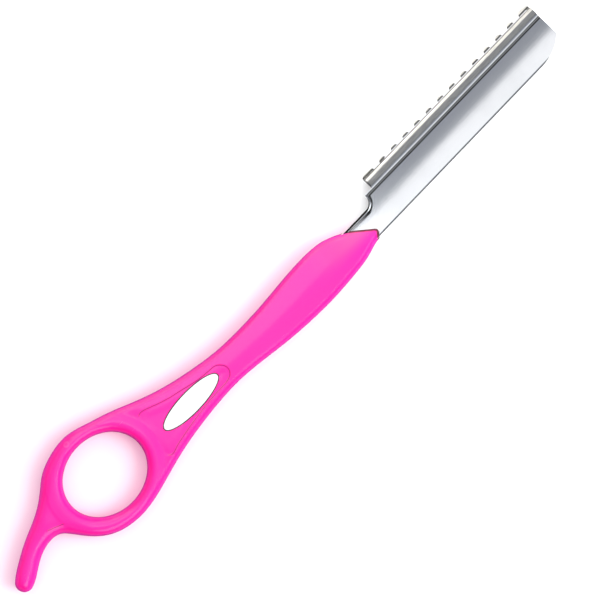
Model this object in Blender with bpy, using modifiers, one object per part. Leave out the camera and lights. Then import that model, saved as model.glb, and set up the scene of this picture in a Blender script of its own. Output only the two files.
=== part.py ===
# Hair styling razor: a ring handle, a folded steel holder with a comb guard, and a blade that slides in.
# It lies flat: the head points along +X, the comb side is +Y and the label side is +Z. Sizes are in metres.
# The origin is the middle of the razor's length and width, on the surface that the razor lies on.

import math

import bmesh
import bpy
from mathutils import Matrix

# Handle, measured from the centre of the finger ring
hole_length = 0.0271
hole_width = 0.0237
ring_outer_radius = 0.01645
grip_length = 0.1106
grip_width = 0.01515
tail_length = 0.0431
tail_end_radius = 0.0029
handle_thickness = 0.0076
edge_round = 0.0020

# Clearances and overruns
fit_gap = 0.0003
cut_overrun = 0.0050

# Steel holder, one folded sheet. Its widths are measured across from the spine edge
sheet_thickness = 0.0005
head_reach = 0.0803
comb_length = 0.0723
tang_depth = 0.0400
tang_width = 0.00835
roll_radius = 0.0017
plate_width = 0.01055
step_width = 0.0005
step_height = 0.00035
flange_width = 0.00064
bulge_setback = 0.0002
bulge_width = 0.00315
comb_overhang = 0.00156
valley_width = 0.0026
valley_depth = 0.0008
spine_corner_radius = 0.0160
spine_corner_depth = 0.0038
notch_radius = 0.0030
notch_inset = 0.0019

# Comb. Its two outer corner arcs are centred a share of their radius in from the ends
tooth_count = 14
tooth_gap = 0.0026
tooth_depth = 0.0036
end_tooth_reach = 0.00287
first_tooth_reach = 0.00339
tip_bend_reach = 0.0010
tip_bend_rise = 0.00035
comb_corner_share = 0.95

# Blade: a soft steel back strip with a curled edge, and the cutting foil on its front
blade_length = 0.0620
blade_end_inset = 0.0012
strip_thickness = 0.0003
strip_setback = 0.00104
hook_radius = 0.00042
hook_reach = 0.00275
foil_thickness = 0.0002
foil_overhang = 0.00026
foil_bevel_width = 0.0006
foil_edge_thickness = 0.00006

# Pins through the tang, and the pegs that line the two handle halves up
pin_radius = 0.0011
pin_length = 0.0058
pin_spacing = 0.0240
pin_setback = 0.0110
peg_radius = 0.0012
peg_height = 0.0022

# Label
label_length = 0.0223
label_width = 0.0062
label_thickness = 0.00035
label_distance = 0.0344

# Outline of the handle as shares. Grip: along grip_length, across grip_width, from the ring's centre
grip_upper_shares = [
    (1.090, -0.370),
    (1.060, -0.130),
    (0.985, -0.190),
    (0.934, -0.120),
    (0.906, -0.018),
    (0.869, 0.086),
    (0.815, 0.135),
    (0.732, 0.125),
    (0.623, 0.073),
    (0.542, 0.064),
    (0.459, 0.092),
    (0.378, 0.188),
    (0.296, 0.330),
]
grip_lower_shares = [
    (0.213, -0.772),
    (0.296, -0.686),
    (0.378, -0.637),
    (0.459, -0.640),
    (0.542, -0.713),
    (0.623, -0.795),
    (0.705, -0.845),
    (0.788, -0.861),
    (0.869, -0.832),
    (0.936, -0.769),
    (0.978, -0.693),
    (1.060, -0.610),
]
# The slanted end of the neck: the outline runs on past it and is cut back along this line
neck_end_shares = [
    (0.915, 0.018),
    (0.995, -0.508),
    (1.000, -0.568),
    (0.999, -0.620),
    (0.988, -0.740),
]
# Ring: both ways in ring_outer_radius
ring_upper_shares = [
    (1.435, 0.498),
    (0.888, 0.730),
    (0.500, 0.866),
    (0.000, 1.000),
    (-0.398, 0.960),
    (-0.766, 0.827),
    (-1.130, 0.562),
]
ring_lower_shares = [
    (-1.185, -0.304),
    (-0.948, -0.614),
    (-0.669, -0.845),
    (-0.350, -0.965),
    (0.000, -1.000),
    (0.517, -0.927),
    (0.888, -0.833),
]
# Tail: along tail_length, across ring_outer_radius, with an arc of tail_end_radius between its two sides
tail_outer_shares = [
    (-0.573, 0.362),
    (-0.712, 0.213),
    (-0.854, 0.024),
]
tail_end_share = -0.304
tail_end_angles = (118, 298)
tail_inner_shares = [
    (-0.782, -0.289),
    (-0.677, -0.158),
    (-0.592, -0.119),
    (-0.515, -0.158),
]
spine_share = 0.670
label_across_share = 0.247
ring_peg_shares = (1.22, -0.10)
tail_peg_shares = (-1.32, 0.12)

# Smoothness: points or segments for each kind of curve
outline_steps = 4
edge_steps = 3
hole_points = 48
tail_end_steps = 5
label_points = 40
roll_steps = 14
bulge_steps = 8
hook_steps = 6
corner_steps = 10
tooth_steps = 6
round_points = 20
sharp_angle = 40

# Places worked out from the sizes above
overall_length = tail_length + grip_length + head_reach
ring_x = tail_length - overall_length / 2
neck_x = ring_x + grip_length
tip_x = neck_x + head_reach
comb_x = tip_x - comb_length
tang_x = neck_x - tang_depth
spine_y = -grip_width * spine_share
mid_z = handle_thickness / 2
half_sheet = sheet_thickness / 2
leaf_z = strip_thickness / 2 + fit_gap + half_sheet
roll_line = roll_radius - half_sheet
flange_edge = plate_width + step_width + flange_width
bulge_start = flange_edge + bulge_setback
lip_reach = bulge_start + bulge_width
comb_reach = lip_reach + comb_overhang
tooth_pitch = (comb_length - end_tooth_reach - first_tooth_reach) / (tooth_count - 1)
notch_arc = min(notch_radius, flange_edge - tang_width)
strip_reach = lip_reach - strip_setback
foil_start = bulge_start + sheet_thickness + fit_gap
foil_reach = lip_reach + foil_overhang
foil_z = strip_thickness / 2 + fit_gap + foil_thickness / 2
lip_z = foil_z + foil_thickness / 2 + fit_gap
pin_across = (roll_radius + tang_width) / 2

# A section drawn as (across, up) stands in the YZ plane, with its extrusion along X
section_turn = Matrix(((0, 0, 1, 0), (1, 0, 0, 0), (0, 1, 0, 0), (0, 0, 0, 1)))


def new_collection(name):
    collection = bpy.data.collections.new(name)
    bpy.context.scene.collection.children.link(collection)
    return collection


def material(name, color, roughness, metallic):
    result = bpy.data.materials.new(name)
    result.use_nodes = True
    shader = result.node_tree.nodes["Principled BSDF"]
    shader.inputs["Base Color"].default_value = (*color, 1)
    shader.inputs["Roughness"].default_value = roughness
    shader.inputs["Metallic"].default_value = metallic
    return result


def add_object(name, mesh, collection, surface=None):
    result = bpy.data.objects.new(name, mesh)
    collection.objects.link(result)
    if surface:
        mesh.materials.append(surface)
    return result


def add_cutter(name, mesh):
    result = add_object(name, mesh, cutters)
    result.hide_render = True
    result.display_type = "WIRE"
    return result


def arc(center, radius, start, end, steps):
    """Points on an arc, angles in degrees."""
    points = []
    for step in range(steps + 1):
        angle = math.radians(start + (end - start) * step / steps)
        points.append((center[0] + radius * math.cos(angle), center[1] + radius * math.sin(angle)))
    return points


def ellipse(length, width, count):
    points = []
    for index in range(count):
        angle = 2 * math.pi * index / count
        points.append((length / 2 * math.cos(angle), width / 2 * math.sin(angle)))
    return points


def add_poly(curve, points, closed):
    spline = curve.splines.new("POLY")
    spline.points.add(len(points) - 1)
    for point, (x, y) in zip(spline.points, points):
        point.co = (x, y, 0, 1)
    spline.use_cyclic_u = closed


def curve_to_mesh(curve, name):
    """The curve's evaluated mesh, with its loose caps welded."""
    guide = bpy.data.objects.new(name, curve)
    bpy.context.scene.collection.objects.link(guide)
    bpy.context.view_layer.update()
    graph = bpy.context.evaluated_depsgraph_get()
    mesh = bpy.data.meshes.new_from_object(guide.evaluated_get(graph))
    mesh.name = name
    bpy.data.objects.remove(guide)
    bm = bmesh.new()
    bm.from_mesh(mesh)
    bmesh.ops.remove_doubles(bm, verts=bm.verts, dist=fit_gap / 100)
    bmesh.ops.recalc_face_normals(bm, faces=bm.faces)
    bm.to_mesh(mesh)
    bm.free()
    return mesh


def plate_mesh(name, points, low, high):
    """A flat outline made solid between two heights."""
    curve = bpy.data.curves.new(name, "CURVE")
    curve.dimensions = "2D"
    curve.fill_mode = "BOTH"
    curve.extrude = (high - low) / 2
    add_poly(curve, points, True)
    mesh = curve_to_mesh(curve, name)
    mesh.transform(Matrix.Translation((0, 0, (low + high) / 2)))
    return mesh


def ribbon_mesh(name, points, start_x, end_x):
    """An open section swept along X, without thickness."""
    curve = bpy.data.curves.new(name, "CURVE")
    curve.dimensions = "2D"
    curve.fill_mode = "NONE"
    curve.extrude = (end_x - start_x) / 2
    add_poly(curve, points, False)
    mesh = curve_to_mesh(curve, name)
    mesh.transform(Matrix.Translation(((start_x + end_x) / 2, spine_y, mid_z)) @ section_turn)
    return mesh


def bar_mesh(name, points, start_x, end_x):
    """A closed section swept along X into a solid."""
    mesh = plate_mesh(name, points, start_x, end_x)
    mesh.transform(Matrix.Translation((0, spine_y, mid_z)) @ section_turn)
    return mesh


def box_mesh(name, low, high):
    mesh = bpy.data.meshes.new(name)
    bm = bmesh.new()
    bmesh.ops.create_cube(bm, size=1)
    middle = [(a + b) / 2 for a, b in zip(low, high)]
    size = [b - a for a, b in zip(low, high)]
    bmesh.ops.transform(bm, matrix=Matrix.Translation(middle) @ Matrix.Diagonal((*size, 1)), verts=bm.verts)
    bm.to_mesh(mesh)
    bm.free()
    return mesh


def cylinder_mesh(name, radius, low, high, x, y):
    mesh = bpy.data.meshes.new(name)
    bm = bmesh.new()
    bmesh.ops.create_cone(
        bm, cap_ends=True, segments=round_points, radius1=radius, radius2=radius, depth=high - low
    )
    bmesh.ops.transform(bm, matrix=Matrix.Translation((x, y, (low + high) / 2)), verts=bm.verts)
    bm.to_mesh(mesh)
    bm.free()
    return mesh


def boolean(target, cutter, operation):
    modifier = target.modifiers.new(cutter.name, "BOOLEAN")
    modifier.operation = operation
    modifier.object = cutter
    modifier.solver = "EXACT"


def solidify(target, thickness):
    modifier = target.modifiers.new("sheet", "SOLIDIFY")
    modifier.thickness = thickness
    modifier.offset = 0
    modifier.use_even_offset = True


def handle_points():
    """The handle's outline, anticlockwise from the neck's corner, round the ring and the tail."""
    points = [(x * grip_length, y * grip_width) for x, y in grip_upper_shares]
    points += [(x * ring_outer_radius, y * ring_outer_radius) for x, y in ring_upper_shares]
    points += [(x * tail_length, y * ring_outer_radius) for x, y in tail_outer_shares]
    tail_end = (tail_end_radius - tail_length, tail_end_share * ring_outer_radius)
    points += arc(tail_end, tail_end_radius, *tail_end_angles, tail_end_steps)
    points += [(x * tail_length, y * ring_outer_radius) for x, y in tail_inner_shares]
    points += [(x * ring_outer_radius, y * ring_outer_radius) for x, y in ring_lower_shares]
    points += [(x * grip_length, y * grip_width) for x, y in grip_lower_shares]
    return points


def handle_mesh(name):
    """The whole handle with rounded edges and the finger hole, before it is split."""
    curve = bpy.data.curves.new(name, "CURVE")
    curve.dimensions = "2D"
    curve.fill_mode = "BOTH"
    curve.extrude = handle_thickness / 2 - edge_round
    curve.bevel_depth = edge_round
    curve.bevel_resolution = edge_steps
    curve.offset = -edge_round
    curve.resolution_u = outline_steps
    outline = handle_points()
    spline = curve.splines.new("BEZIER")
    spline.bezier_points.add(len(outline) - 1)
    for point, (x, y) in zip(spline.bezier_points, outline):
        point.co = (x, y, 0)
        point.handle_left_type = "AUTO"
        point.handle_right_type = "AUTO"
    spline.use_cyclic_u = True
    add_poly(curve, ellipse(hole_length, hole_width, hole_points), True)
    mesh = curve_to_mesh(curve, name)
    mesh.transform(Matrix.Translation((ring_x, 0, mid_z)))
    return mesh


def pin_places():
    first = neck_x - pin_setback
    return [(first, spine_y + pin_across), (first - pin_spacing, spine_y + pin_across)]


def peg_places():
    places = []
    for x, y in (ring_peg_shares, tail_peg_shares):
        places.append((ring_x + x * ring_outer_radius, y * ring_outer_radius))
    return places


def neck_cut_mesh():
    """Everything past the neck's slanted end."""
    points = [(ring_x + x * grip_length, y * grip_width) for x, y in neck_end_shares]
    far_x = ring_x + grip_length * grip_upper_shares[0][0] + cut_overrun
    points += [(far_x, points[-1][1]), (far_x, points[0][1])]
    return plate_mesh("neck_cut", points, -cut_overrun, handle_thickness + cut_overrun)


def half_handle(name, surface, low, high):
    """One half of the handle, with the pocket for the tang and the blind pin holes."""
    half = add_object(name, handle_mesh(name), parts, surface)
    reach = overall_length
    slab = add_cutter(name + "_slab", box_mesh(name + "_slab", (-reach, -reach, low), (reach, reach, high)))
    boolean(half, slab, "INTERSECT")
    boolean(half, neck_end, "DIFFERENCE")
    boolean(half, tang_pocket, "DIFFERENCE")
    for cutter in pin_sockets:
        boolean(half, cutter, "DIFFERENCE")
    return half


def make_handle():
    surface = material("handle_plastic", (1.0, 0.045, 0.50), 0.22, 0.0)
    split = fit_gap / 2
    front = half_handle("handle_front", surface, mid_z + split, handle_thickness + cut_overrun)
    back = half_handle("handle_back", surface, -cut_overrun, mid_z - split)
    for index, (x, y) in enumerate(peg_places(), 1):
        name = "peg_%d" % index
        peg = cylinder_mesh(name, peg_radius, mid_z / 2, mid_z + peg_height, x, y)
        boolean(back, add_cutter(name, peg), "UNION")
        name = "peg_socket_%d" % index
        socket = cylinder_mesh(name, peg_radius + fit_gap, 0, mid_z + peg_height + fit_gap, x, y)
        boolean(front, add_cutter(name, socket), "DIFFERENCE")
    outline = ellipse(label_length + 2 * fit_gap, label_width + 2 * fit_gap, label_points)
    floor = handle_thickness - label_thickness - fit_gap
    recess = plate_mesh("label_recess", outline, floor, handle_thickness + cut_overrun)
    recess.transform(Matrix.Translation(label_place()))
    boolean(front, add_cutter("label_recess", recess), "DIFFERENCE")


def label_place():
    return ring_x + label_distance, -grip_width * label_across_share, 0


def make_label():
    surface = material("label_white", (0.92, 0.92, 0.93), 0.35, 0.0)
    outline = ellipse(label_length, label_width, label_points)
    low = handle_thickness - label_thickness
    mesh = plate_mesh("label_plate", outline, low, handle_thickness)
    mesh.transform(Matrix.Translation(label_place()))
    add_object("label_plate", mesh, parts, surface)


def tangent_angle(point, side):
    """Where the straight line from a point meets the roll's centre line, above (1) or below (-1)."""
    run = point[0] - roll_radius
    distance = math.hypot(run, point[1])
    return math.degrees(math.atan2(point[1], run) + side * math.acos(roll_line / distance))


def holder_section():
    """The folded sheet's middle line, from the lip over the spine to the comb's tips."""
    bulge_line = bulge_width / 2 - half_sheet
    bulge_center = (lip_reach - bulge_width / 2, leaf_z)
    lip_angle = math.degrees(math.asin((lip_z - leaf_z) / bulge_line))
    points = arc(bulge_center, bulge_line, lip_angle, 180, bulge_steps)
    points.append((plate_width + step_width, leaf_z))
    step_top = (plate_width, leaf_z + step_height)
    pinch = (plate_width, -leaf_z)
    points.append(step_top)
    start = tangent_angle(step_top, 1)
    end = 360 + tangent_angle(pinch, -1)
    points += arc((roll_radius, 0), roll_line, start, end, roll_steps)
    points.append(pinch)
    points.append((plate_width + valley_depth, -leaf_z - valley_depth))
    points.append((plate_width + valley_width, -leaf_z))
    points.append((comb_reach - tip_bend_reach, -leaf_z))
    points.append((comb_reach, -leaf_z + tip_bend_rise))
    return points


def holder_plan(inset):
    """The holder's outline seen from above, as (X, across), pulled back from the open end by inset."""
    corner = (tip_x - inset, 0)
    drop = spine_corner_radius - spine_corner_depth
    run = math.sqrt(spine_corner_radius ** 2 - drop ** 2)
    center = (corner[0] - run, spine_corner_radius)
    end_angle = -math.degrees(math.asin(drop / spine_corner_radius))
    start_angle = -90 + (90 + end_angle) / corner_steps
    points = [(tang_x, -cut_overrun), (center[0], -cut_overrun)]
    points += arc(center, spine_corner_radius, start_angle, end_angle, corner_steps - 1)
    points.append((corner[0], comb_reach + cut_overrun))
    points.append((comb_x, comb_reach + cut_overrun))
    points.append((comb_x, flange_edge))
    notch_center = (neck_x + notch_inset, tang_width + notch_arc)
    slant = flange_edge - notch_center[1]
    points.append((notch_center[0] + notch_arc + slant, flange_edge))
    points += arc(notch_center, notch_arc, 0, -90, corner_steps)
    points.append((tang_x, tang_width))
    return points


def comb_gap_plan():
    """What is cut away between and beyond the comb's round tipped teeth, as (X, across)."""
    tip_radius = (tooth_pitch - tooth_gap) / 2
    gap_radius = tooth_gap / 2
    tip_line = comb_reach - tip_radius
    gap_line = comb_reach - tooth_depth + gap_radius
    outer = comb_reach + cut_overrun
    points = [(tip_x + cut_overrun, outer), (tip_x + cut_overrun, tip_line)]
    corner_inset = tip_radius * comb_corner_share
    points += arc((tip_x - corner_inset, tip_line), tip_radius, 0, 90, tooth_steps)
    for index in range(tooth_count - 1):
        tooth = tip_x - end_tooth_reach - index * tooth_pitch
        points += arc((tooth, tip_line), tip_radius, 90, 180, tooth_steps)
        points += arc((tooth - tooth_pitch / 2, gap_line), gap_radius, 0, -180, tooth_steps)
        points += arc((tooth - tooth_pitch, tip_line), tip_radius, 0, 90, tooth_steps)[:-1]
    points += arc((comb_x + corner_inset, tip_line), tip_radius, 90, 180, tooth_steps)
    points += [(comb_x - cut_overrun, tip_line), (comb_x - cut_overrun, outer)]
    return points


def across_to_y(points):
    return [(x, spine_y + across) for x, across in points]


def make_holder():
    surface = material("holder_steel", (0.78, 0.79, 0.81), 0.12, 1.0)
    start = tang_x - cut_overrun
    mesh = ribbon_mesh("blade_holder", holder_section(), start, tip_x + cut_overrun)
    holder = add_object("blade_holder", mesh, parts, surface)
    solidify(holder, sheet_thickness)
    low = -cut_overrun
    high = handle_thickness + cut_overrun
    plan = plate_mesh("holder_plan", across_to_y(holder_plan(0)), low, high)
    boolean(holder, add_cutter("holder_plan", plan), "INTERSECT")
    gaps = plate_mesh("comb_gaps", across_to_y(comb_gap_plan()), low, mid_z)
    boolean(holder, add_cutter("comb_gaps", gaps), "DIFFERENCE")
    for index, (x, y) in enumerate(pin_places(), 1):
        name = "tang_hole_%d" % index
        hole = cylinder_mesh(name, pin_radius + fit_gap, low, high, x, y)
        boolean(holder, add_cutter(name, hole), "DIFFERENCE")
    return holder


def strip_section():
    """The back strip's middle line: a curl in the roll, down along the back leaf, level from the pinch on."""
    pinch = (plate_width, -leaf_z)
    angle = math.radians(tangent_angle(pinch, -1))
    foot = (roll_radius + roll_line * math.cos(angle), roll_line * math.sin(angle))
    slope = (pinch[1] - foot[1]) / (pinch[0] - foot[0])
    lift = leaf_z * math.sqrt(1 + slope ** 2)
    base_z = foot[1] + slope * (hook_reach - foot[0]) + lift
    center = (hook_reach, base_z + hook_radius)
    lean = math.degrees(math.atan(slope))
    points = arc(center, hook_radius, 90, 270 + lean, hook_steps)
    bend = plate_width - (lift - leaf_z) / slope
    points.append((bend, 0))
    points.append((strip_reach, 0))
    return points


def foil_section():
    """The foil's section: flat, with a bevel ground on its upper side down to the edge."""
    low = foil_z - foil_thickness / 2
    high = foil_z + foil_thickness / 2
    return [
        (foil_start, low),
        (foil_reach, low),
        (foil_reach, low + foil_edge_thickness),
        (foil_reach - foil_bevel_width, high),
        (foil_start, high),
    ]


def make_blade():
    strip_surface = material("blade_back_steel", (0.66, 0.68, 0.71), 0.30, 1.0)
    foil_surface = material("blade_edge_steel", (0.80, 0.82, 0.85), 0.08, 1.0)
    end = tip_x - blade_end_inset
    start = end - blade_length
    mesh = ribbon_mesh("blade_back", strip_section(), start, end + cut_overrun)
    back = add_object("blade_back", mesh, parts, strip_surface)
    solidify(back, strip_thickness)
    low = -cut_overrun
    high = handle_thickness + cut_overrun
    plan = plate_mesh("blade_plan", across_to_y(holder_plan(blade_end_inset)), low, high)
    boolean(back, add_cutter("blade_plan", plan), "INTERSECT")
    edge = bar_mesh("blade_edge", foil_section(), start, end)
    add_object("blade_edge", edge, parts, foil_surface)


def make_pins():
    surface = material("pin_steel", (0.70, 0.70, 0.72), 0.35, 1.0)
    for index, (x, y) in enumerate(pin_places(), 1):
        name = "tang_pin_%d" % index
        mesh = cylinder_mesh(name, pin_radius, mid_z - pin_length / 2, mid_z + pin_length / 2, x, y)
        mesh.shade_smooth()
        mesh.set_sharp_from_angle(angle=math.radians(sharp_angle))
        add_object(name, mesh, parts, surface)


for old in list(bpy.data.objects):
    bpy.data.objects.remove(old)
parts = new_collection("hair_styling_razor")
cutters = new_collection("cutters")

neck_end = add_cutter("neck_cut", neck_cut_mesh())
pocket_half = roll_radius + fit_gap
pocket_low = (tang_x - fit_gap, spine_y - fit_gap, mid_z - pocket_half)
pocket_high = (neck_x + cut_overrun, spine_y + tang_width + fit_gap, mid_z + pocket_half)
tang_pocket = add_cutter("tang_pocket", box_mesh("tang_pocket", pocket_low, pocket_high))
pin_sockets = []
for number, (pin_x, pin_y) in enumerate(pin_places(), 1):
    socket_half = pin_length / 2 + fit_gap
    socket_name = "pin_socket_%d" % number
    socket_mesh = cylinder_mesh(
        socket_name, pin_radius + fit_gap, mid_z - socket_half, mid_z + socket_half, pin_x, pin_y
    )
    pin_sockets.append(add_cutter(socket_name, socket_mesh))

make_handle()
make_label()
make_holder()
make_blade()
make_pins()
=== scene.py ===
import math

import bmesh
import bpy
import numpy as np
from mathutils import Matrix


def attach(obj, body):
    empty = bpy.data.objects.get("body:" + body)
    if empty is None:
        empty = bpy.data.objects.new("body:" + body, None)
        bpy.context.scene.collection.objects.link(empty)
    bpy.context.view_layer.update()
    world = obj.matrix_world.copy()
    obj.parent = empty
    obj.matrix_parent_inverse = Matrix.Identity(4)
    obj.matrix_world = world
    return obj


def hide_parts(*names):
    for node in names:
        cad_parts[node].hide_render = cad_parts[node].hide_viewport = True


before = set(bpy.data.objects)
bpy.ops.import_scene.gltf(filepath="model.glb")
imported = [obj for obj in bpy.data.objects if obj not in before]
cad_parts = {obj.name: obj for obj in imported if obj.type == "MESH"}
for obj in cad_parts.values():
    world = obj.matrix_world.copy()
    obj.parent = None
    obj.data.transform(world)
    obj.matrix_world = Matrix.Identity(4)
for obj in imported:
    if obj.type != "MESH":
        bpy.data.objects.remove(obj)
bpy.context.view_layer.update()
print("frame loaded:", len(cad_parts), "nodes")

# Lengths in the dictionaries are in millimetres, and a mesh becomes metres as it is made.
mm = 0.001
softAngle = 35  # degrees: folds up to this are shaded smooth, unless a piece has its own angle
weldReach = 0.003  # points closer than this become one
mostOfRun = 0.48  # a rounding takes no more than this share of a straight run
chunk = 4000  # points taken together by one step of a distance search
razor = {
    "ringX": -73.9,  # centre of the finger ring, on the line Y = 0
    "midZ": 3.8,  # height of the parting plane
    "spineY": -10.15,  # folded edge of the steel holder
    "neckX": 36.7,
    "tipX": 117.0,
}


def makeObject(name, vertices, faces):
    # a mesh from vertices in millimetres and faces as lists of vertex numbers
    mesh = bpy.data.meshes.new(name)
    mesh.from_pydata((np.asarray(vertices) * mm).tolist(), [], faces)
    mesh.update()
    piece = bpy.data.objects.new(name, mesh)
    bpy.context.scene.collection.objects.link(piece)
    smoothBy(piece, softAngle)
    return piece


def smoothBy(piece, angle):
    # smooth over folds up to the angle in degrees, sharp at the others
    piece.data.shade_smooth()
    piece.data.set_sharp_from_angle(angle=math.radians(angle))


def gridFaces(rows, columns, start=0, closed=False):
    # quads between neighbouring points of a grid stored row by row; closed rows are rings
    row = np.arange(rows - 1)[:, None] * columns + start
    here = np.arange(columns if closed else columns - 1)[None, :]
    there = (here + 1) % columns
    quads = np.stack([row + here, row + there, row + columns + there, row + columns + here], axis=-1)
    return quads.reshape(-1, 4)


def atHeight(flat, height):
    # points of an outline, all at one height
    return np.column_stack([flat, np.full(len(flat), height)])


def weld(piece):
    # merges doubled points, closes the open side and turns every face outwards
    work = bmesh.new()
    work.from_mesh(piece.data)
    bmesh.ops.remove_doubles(work, verts=work.verts, dist=weldReach * mm)
    rim = [edge for edge in work.edges if edge.is_boundary]
    if rim:
        bmesh.ops.triangle_fill(work, use_beauty=True, use_dissolve=False, edges=rim)
    bmesh.ops.recalc_face_normals(work, faces=work.faces)
    work.to_mesh(piece.data)
    work.free()


def prism(name, outline, low, high):
    # an outline carried straight up, with a flat face on each end
    count = len(outline)
    faces = gridFaces(2, count, closed=True).tolist()
    faces += [list(range(count))[::-1], list(range(count, 2 * count))]
    piece = makeObject(name, np.vstack([atHeight(outline, low), atHeight(outline, high)]), faces)
    weld(piece)
    return piece


def carve(piece, cutter, operation="DIFFERENCE", smoothAngle=softAngle):
    # one exact boolean, applied at once, and the cutter is removed
    modifier = piece.modifiers.new(operation.lower(), "BOOLEAN")
    modifier.operation = operation
    modifier.object = cutter
    modifier.solver = "EXACT"
    applyModifiers(piece, smoothAngle)
    bpy.data.objects.remove(cutter)


def applyModifiers(piece, smoothAngle):
    # the finished mesh takes the place of the mesh and its modifiers
    bpy.context.view_layer.update()
    graph = bpy.context.evaluated_depsgraph_get()
    done = bpy.data.meshes.new_from_object(piece.evaluated_get(graph))
    piece.modifiers.clear()
    piece.data = done
    smoothBy(piece, smoothAngle)


def readPoints(piece):
    # all points of a mesh, in millimetres
    flat = np.empty(len(piece.data.vertices) * 3)
    piece.data.vertices.foreach_get("co", flat)
    return flat.reshape(-1, 3) / mm


def writeMask(piece, name, values):
    # one number for each point, which a shader reads by its name
    layer = piece.data.attributes.new(name, "FLOAT", "POINT")
    layer.data.foreach_set("value", np.asarray(values, np.float32))


def filletPath(points, radii, steps=8):
    # straight runs joined by arcs, each reaching less than half way along its runs
    least = 1e-4
    points = np.asarray(points, float)
    path = [points[0]]
    for index in range(1, len(points) - 1):
        corner = points[index]
        back = points[index - 1] - corner
        ahead = points[index + 1] - corner
        backLength, aheadLength = np.linalg.norm(back), np.linalg.norm(ahead)
        back, ahead = back / backLength, ahead / aheadLength
        half = math.acos(np.clip(back @ ahead, -1, 1)) / 2
        reach = min(radii[index - 1] / math.tan(half), mostOfRun * backLength, mostOfRun * aheadLength)
        if reach < least:
            path.append(corner)
            continue
        radius = reach * math.tan(half)
        middle = back + ahead
        center = corner + middle / np.linalg.norm(middle) * (radius / math.sin(half))
        first, last = corner + back * reach - center, corner + ahead * reach - center
        sweep = math.atan2(first[0] * last[1] - first[1] * last[0], first @ last)
        turn = np.linspace(0, sweep, steps + 1)
        spin = np.stack([first[0] * np.cos(turn) - first[1] * np.sin(turn),
                         first[0] * np.sin(turn) + first[1] * np.cos(turn)], axis=-1)
        path.extend(center + spin)
    path.append(points[-1])
    return np.array(path)


def arcPath(center, radius, start, end, steps):
    # points at even angles on a circle, from the start to the end in degrees
    turn = np.radians(np.linspace(start, end, steps + 1))
    return np.column_stack([center[0] + radius * np.cos(turn), center[1] + radius * np.sin(turn)])


def hermite(t):
    # weights in a cubic span at its share t: first point and slope, last point and slope
    return 2 * t ** 3 - 3 * t ** 2 + 1, t ** 3 - 2 * t ** 2 + t, 3 * t ** 2 - 2 * t ** 3, t ** 3 - t ** 2


class Wire:
    # one output in a shader tree; sums written with it add Math nodes
    def __init__(self, tree, socket=None):
        self.tree = tree
        self.socket = socket

    def node(self, kind, settings=None, values=None, output=0):
        # settings first, then the values or links of the new node's sockets
        made = self.tree.nodes.new(kind)
        for key, value in (settings or {}).items():
            setattr(made, key, value)
        for key, value in (values or {}).items():
            if isinstance(value, Wire):
                self.tree.links.new(value.socket, made.inputs[key])
            else:
                made.inputs[key].default_value = value
        return Wire(self.tree, made.outputs[output])

    def maths(self, operation, first, second=0):
        return self.node("ShaderNodeMath", {"operation": operation}, {0: first, 1: second})

    def __abs__(self):
        return self.maths("ABSOLUTE", self)

    def __add__(self, other):
        return self.maths("ADD", self, other)

    def __radd__(self, other):
        return self.maths("ADD", other, self)

    def __sub__(self, other):
        return self.maths("SUBTRACT", self, other)

    def __rsub__(self, other):
        return self.maths("SUBTRACT", other, self)

    def __mul__(self, other):
        return self.maths("MULTIPLY", self, other)

    def __rmul__(self, other):
        return self.maths("MULTIPLY", other, self)

    def noise(self, scale, detail=2.0, roughness=0.5):
        # soft noise around 0.5, read at this place
        return self.node("ShaderNodeTexNoise", {}, {
            "Vector": self, "Scale": scale, "Detail": detail, "Roughness": roughness})

    def ramp(self, low, high, toLow=0.0, toHigh=1.0):
        # smooth rise from toLow at low to toHigh at high
        return self.node("ShaderNodeMapRange", {"interpolation_type": "SMOOTHSTEP"}, {
            0: self, 1: low, 2: high, 3: toLow, 4: toHigh})

    def axis(self, index):
        # one part of a vector: 0 for X, 1 for Y, 2 for Z
        return self.node("ShaderNodeSeparateXYZ", {}, {0: self}, output=index)

    def mask(self, name):
        # the number that writeMask left on the mesh
        return self.node("ShaderNodeAttribute", {"attribute_name": name}, {}, output=2)

    def blend(self, first, second):
        # two colours mixed by this value
        first = first if isinstance(first, Wire) else (*first, 1)
        second = second if isinstance(second, Wire) else (*second, 1)
        return self.node("ShaderNodeMix", {"data_type": "RGBA"}, {0: self, 6: first, 7: second}, output=2)

    def feed(self, shader, socket):
        self.tree.links.new(self.socket, shader.inputs[socket])

    def bump(self, shader, distance):
        # relief of this height, its distance in metres
        self.node("ShaderNodeBump", {}, {
            "Height": self, "Distance": distance, "Strength": 1.0}).feed(shader, "Normal")


def newMaterial(name, fixed):
    # fixed values are set on the shader's own sockets
    made = bpy.data.materials.new(name)
    made.use_nodes = True
    shader = made.node_tree.nodes["Principled BSDF"]
    for key, value in fixed.items():
        shader.inputs[key].default_value = value
    return made, Wire(made.node_tree), shader


def objectPlace(root, scale=(1, 1, 1), turn=0.0):
    # Object coordinates in metres, turned about Z and stretched
    place = root.node("ShaderNodeTexCoord", output=3)
    return place.node("ShaderNodeMapping", {}, {"Vector": place, "Scale": scale, "Rotation": (0, 0, turn)})


plastic = {
    "color": (0.94, 0.0045, 0.268),
    "deepColor": (0.9, 0.0035, 0.252),  # in the flow streaks
    "neckHighlightColor": (0.94, 0.045, 0.235),  # painted highlight, paler towards the mouth
    "edgeShadeColor": (0.72, 0.045, 0.4),  # painted shade where the surface turns away from the eye
    "mouthShadeColor": (0.1, 0.012, 0.03),
    "lineShadeColor": (0.3, 0.004, 0.15),
    "lineWidth": (0.1, 0.28),  # painted shade along the moulded line round the label's field, in millimetres
    "roughness": 0.235,
    "coat": 0.22,
    "paleSpotPlace": (-0.07478, 0.01447, 0.007),
    "paleSpotColor": (0.95, 0.16, 0.42),
}


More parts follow.
